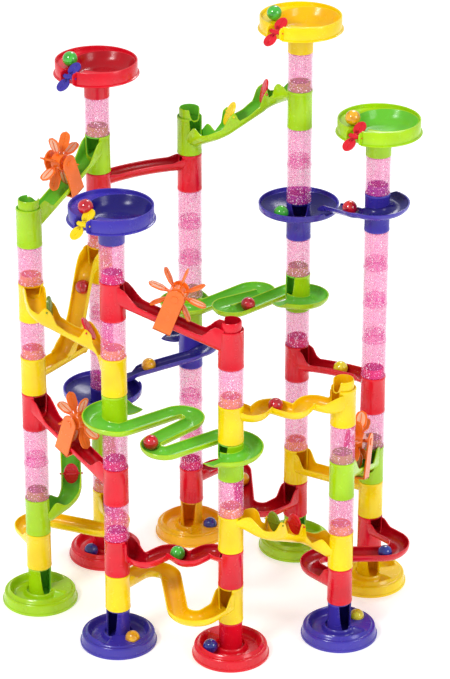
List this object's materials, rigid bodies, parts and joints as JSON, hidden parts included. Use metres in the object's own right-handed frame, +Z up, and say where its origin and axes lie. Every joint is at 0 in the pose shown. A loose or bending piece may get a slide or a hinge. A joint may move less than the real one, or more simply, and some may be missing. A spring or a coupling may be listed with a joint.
{
  "type": "marble run",
  "caption": "Toy marble run: eight plug-together towers joined by curved and straight chutes, with funnels, paddle wheels, flaps and catching trays.",
  "frame": {"origin": "centre of the footprint on the floor", "axes": "+Z up, along the towers; -Y is the front, +X is to the right seen from the front"},
  "size_m": [0.465, 0.3708, 0.6618],
  "materials": {
    "red": "glossy moulded plastic",
    "yellow": "glossy moulded plastic",
    "amber": "glossy moulded plastic",
    "green": "glossy moulded plastic",
    "blue": "glossy moulded plastic",
    "orange": "glossy moulded plastic",
    "olive": "glossy moulded plastic",
    "clear": "clear pink plastic with glitter"
  },
  "bodies": {
    "frame": {"base_a": "green", "base_b": "blue", "base_c": "red", "base_d": "amber", "base_e": "red", "base_f": "green", "base_g": "yellow", "base_h": "blue", "funnel_b": "blue", "funnel_c": "red", "funnel_f": "yellow", "funnel_g": "green", "paddle_chute_ca": "green", "paddle_bracket_ca": "orange", "paddle_chute_be": "red", "paddle_bracket_be": "orange", "paddle_chute_ab": "red", "paddle_bracket_ab": "orange", "paddle_chute_hg": "green", "paddle_bracket_hg": "orange", "flap_chute_fd": "green", "flap_chute_ab": "yellow", "flap_chute_eh": "yellow", "flap_chute_ca": "green", "hook_chute_ac": "yellow", "hook_chute_be": "yellow", "hook_chute_df": "red", "hook_chute_gh": "red", "twin_dish_gf": "blue", "twin_dish_dc": "blue", "hairpin_chute_fd": "green", "hairpin_chute_be": "green", "steep_chute_ca": "yellow", "bridge_chute_cd": "red", "wavy_chute_eb": "red", "wavy_chute_eh": "yellow", "straight_chute_gf": "yellow", "bowed_chute_gf": "red", "clear_column_a": "clear", "clear_column_c": "clear", "clear_column_d_low": "clear", "clear_column_d_high": "clear", "clear_column_f_low": "clear", "clear_column_f_high": "clear", "clear_column_g": "clear"},
    "spinner_b": {"spinner_b": "yellow"},
    "spinner_c": {"spinner_c": "blue"},
    "spinner_f": {"spinner_f": "red"},
    "spinner_g": {"spinner_g": "red"},
    "paddle_wheel_ca": {"paddle_wheel_ca": "orange"},
    "paddle_wheel_be": {"paddle_wheel_be": "orange"},
    "paddle_wheel_ab": {"paddle_wheel_ab": "orange"},
    "paddle_wheel_hg": {"paddle_wheel_hg": "orange"},
    "flap_fd_1": {"flap_fd_1": "red"},
    "flap_fd_2": {"flap_fd_2": "yellow"},
    "flap_ab_1": {"flap_ab_1": "olive"},
    "flap_ab_2": {"flap_ab_2": "red"},
    "flap_eh_1": {"flap_eh_1": "olive"},
    "flap_eh_2": {"flap_eh_2": "red"},
    "flap_ca_2": {"flap_ca_2": "red"}
  },
  "joints": [
    {"name": "spinner_b_turn", "type": "hinge", "parent": "frame", "child": "spinner_b", "pos_m": [-0.12576, -0.14676, 0.5178], "axis": [0.788, -0.6157, 0], "continuous": true},
    {"name": "spinner_c_turn", "type": "hinge", "parent": "frame", "child": "spinner_c", "pos_m": [-0.14716, 0.04904, 0.6058], "axis": [0.788, -0.6157, 0], "continuous": true},
    {"name": "spinner_f_turn", "type": "hinge", "parent": "frame", "child": "spinner_f", "pos_m": [0.07454, 0.06874, 0.6498], "axis": [0.788, -0.6157, 0], "continuous": true},
    {"name": "spinner_g_turn", "type": "hinge", "parent": "frame", "child": "spinner_g", "pos_m": [0.15754, -0.01256, 0.5618], "axis": [0.788, -0.6157, 0], "continuous": true},
    {"name": "paddle_wheel_ca_turn", "type": "hinge", "parent": "frame", "child": "paddle_wheel_ca", "pos_m": [-0.15809, 0.02824, 0.51685], "axis": [0.8241, -0.5665, 0], "continuous": true},
    {"name": "paddle_wheel_be_turn", "type": "hinge", "parent": "frame", "child": "paddle_wheel_be", "pos_m": [-0.02938, -0.12515, 0.42885], "axis": [0.204, 0.979, 0], "continuous": true},
    {"name": "paddle_wheel_ab_turn", "type": "hinge", "parent": "frame", "child": "paddle_wheel_ab", "pos_m": [-0.13924, -0.06915, 0.25285], "axis": [0.7094, 0.7048, 0], "continuous": true},
    {"name": "paddle_wheel_hg_turn", "type": "hinge", "parent": "frame", "child": "paddle_wheel_hg", "pos_m": [0.16836, -0.03048, 0.20885], "axis": [-0.9525, 0.3045, 0], "continuous": true},
    {"name": "flap_fd_1_turn", "type": "hinge", "parent": "frame", "child": "flap_fd_1", "pos_m": [0.06335, 0.13005, 0.55933], "axis": [0.2471, -0.969, 0], "range_deg": [-45, 75]},
    {"name": "flap_fd_2_turn", "type": "hinge", "parent": "frame", "child": "flap_fd_2", "pos_m": [0.02542, 0.11564, 0.53819], "axis": [0.3725, -0.928, 0], "range_deg": [-35, 85]},
    {"name": "flap_ab_1_turn", "type": "hinge", "parent": "frame", "child": "flap_ab_1", "pos_m": [-0.16755, -0.06066, 0.38333], "axis": [0.1948, 0.9808, 0], "range_deg": [-55, 65]},
    {"name": "flap_ab_2_turn", "type": "hinge", "parent": "frame", "child": "flap_ab_2", "pos_m": [-0.12602, -0.06721, 0.36219], "axis": [0.1494, 0.9888, 0], "range_deg": [-30, 90]},
    {"name": "flap_eh_1_turn", "type": "hinge", "parent": "frame", "child": "flap_eh_1", "pos_m": [0.07347, -0.13549, 0.16333], "axis": [-0.7602, 0.6497, 0], "range_deg": [-50, 70]},
    {"name": "flap_eh_2_turn", "type": "hinge", "parent": "frame", "child": "flap_eh_2", "pos_m": [0.09667, -0.10193, 0.14219], "axis": [-0.832, 0.5548, 0], "range_deg": [-50, 70]},
    {"name": "flap_ca_2_turn", "type": "hinge", "parent": "frame", "child": "flap_ca_2", "pos_m": [-0.15332, 0.01628, 0.14219], "axis": [0.9974, 0.0715, 0], "range_deg": [-70, 50]}
  ]
}
